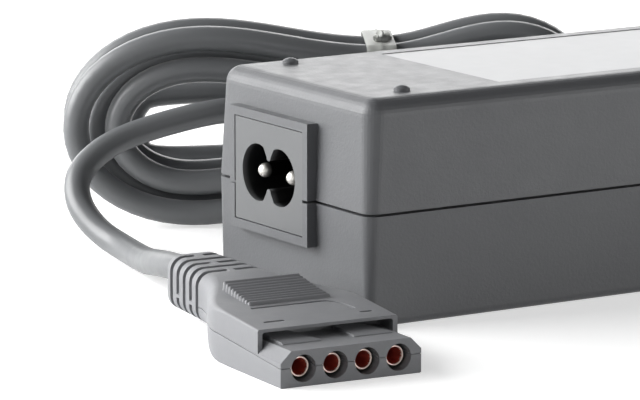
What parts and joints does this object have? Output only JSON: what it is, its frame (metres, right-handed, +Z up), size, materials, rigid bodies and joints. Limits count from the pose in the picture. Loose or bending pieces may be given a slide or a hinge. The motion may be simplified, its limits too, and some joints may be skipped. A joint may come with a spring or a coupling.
{
  "type": "laptop power adapter",
  "caption": "Box-shaped laptop power adapter with a figure-eight mains inlet, a tied hank of low-voltage cord and a flat multi-contact plug.",
  "frame": {"origin": "middle of the case's bottom face, on the surface that the adapter stands on", "axes": "+X along the case from the mains inlet to the cord gland, +Y towards the hank of cord, +Z up to the label face"},
  "size_m": [0.2047, 0.1442, 0.0375],
  "materials": {
    "case": "spark-eroded satin",
    "feet": "satin",
    "label": "satin film",
    "inlet": "fine satin",
    "nickel": "nickel plated",
    "mains_wire": "PVC insulation",
    "board": "solder mask",
    "steel": "zinc plated",
    "insulation": "fish paper",
    "ceramic": "unglazed",
    "capacitor_box": "moulded box",
    "ferrite": "sintered",
    "copper": "enamelled copper wire",
    "epoxy": "moulded epoxy",
    "capacitor_sleeve": "shrink sleeve",
    "aluminium": "mill finish",
    "winding_tape": "polyester tape",
    "output_wire": "PVC insulation",
    "cord_rubber": "satin",
    "cord": "satin PVC sheath",
    "tie": "paper-covered wire",
    "plug_rubber": "satin",
    "plug": "fine spark-eroded satin",
    "contact": "gold plated"
  },
  "bodies": {
    "root": {"top_shell": "case", "bottom_shell": "case", "corner_feet": "feet", "rating_label": "label", "inlet_body": "inlet", "inlet_pins": "nickel", "inlet_wires": "mains_wire", "circuit_board": "board", "board_screws": "steel", "insulation_sheet": "insulation", "mains_fuse": "ceramic", "filter_capacitor": "capacitor_box", "choke_core": "ferrite", "choke_winding": "copper", "bridge_rectifier": "epoxy", "bulk_capacitor": "capacitor_sleeve", "primary_heat_sink": "aluminium", "switching_transistor": "epoxy", "transformer_core": "ferrite", "transformer_winding": "winding_tape", "secondary_heat_sink": "aluminium", "output_rectifier": "epoxy", "output_capacitors": "capacitor_sleeve", "output_choke": "copper", "feedback_coupler": "epoxy", "output_wires": "output_wire", "cord_gland": "cord_rubber", "cord_lead": "cord", "cord_hank": "cord", "cord_tail": "cord", "cord_tie": "tie", "plug_strain_relief": "plug_rubber", "plug_lower_half": "plug", "plug_upper_half": "plug", "plug_contacts": "contact"}
  },
  "joints": []
}
